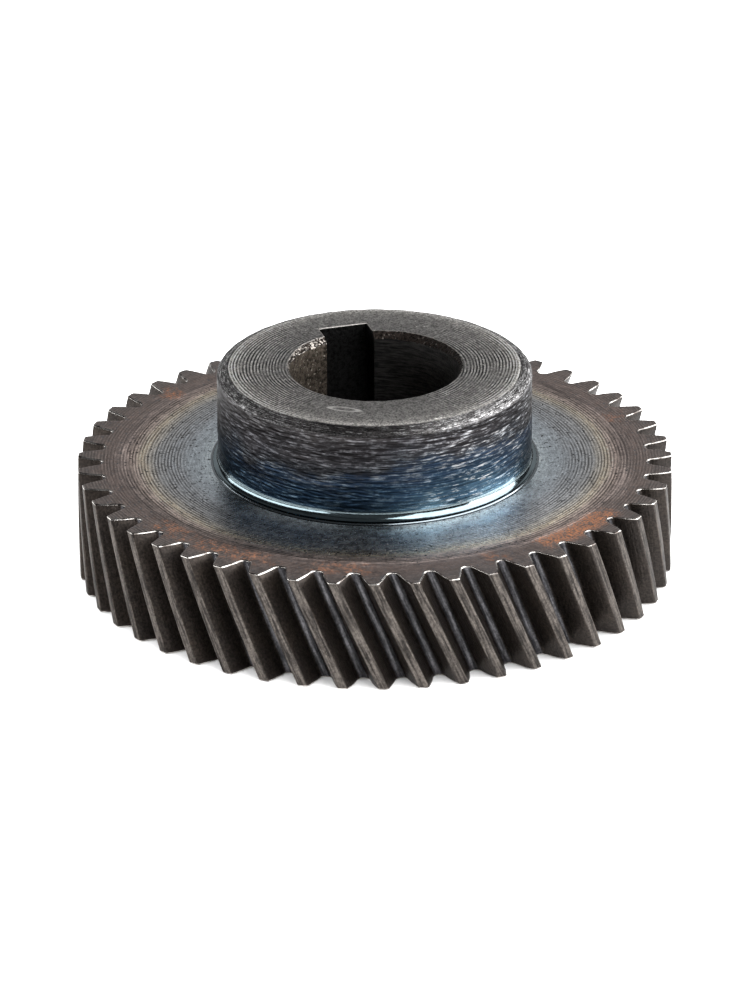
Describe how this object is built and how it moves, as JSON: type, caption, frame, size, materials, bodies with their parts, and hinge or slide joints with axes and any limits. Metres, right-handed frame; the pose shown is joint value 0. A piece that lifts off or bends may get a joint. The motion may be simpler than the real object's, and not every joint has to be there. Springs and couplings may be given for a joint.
{
  "type": "helical gear",
  "caption": "Left-hand helical gear with a round hub on one side, a keyed bore through it and a smooth fillet at the hub's root.",
  "frame": {"origin": "on the bore's axis, in the wheel's back face, which is the part's lowest face", "axes": "+Z along the bore from the wheel's back face towards the hub's nose; +Y from the bore's axis to the keyway"},
  "size_m": [0.0596, 0.0596, 0.0214],
  "materials": {
    "wheel_steel": "hobbed and turned steel, dark with oil and temper colours, rust spots at the rim",
    "hub_steel": "rough turned steel, grey nose, blued towards the root",
    "braze_metal": "smooth, bright, faintly blue"
  },
  "bodies": {
    "root": {"toothed_wheel": "wheel_steel", "keyed_hub": "hub_steel", "braze_fillet": "braze_metal"}
  },
  "joints": []
}
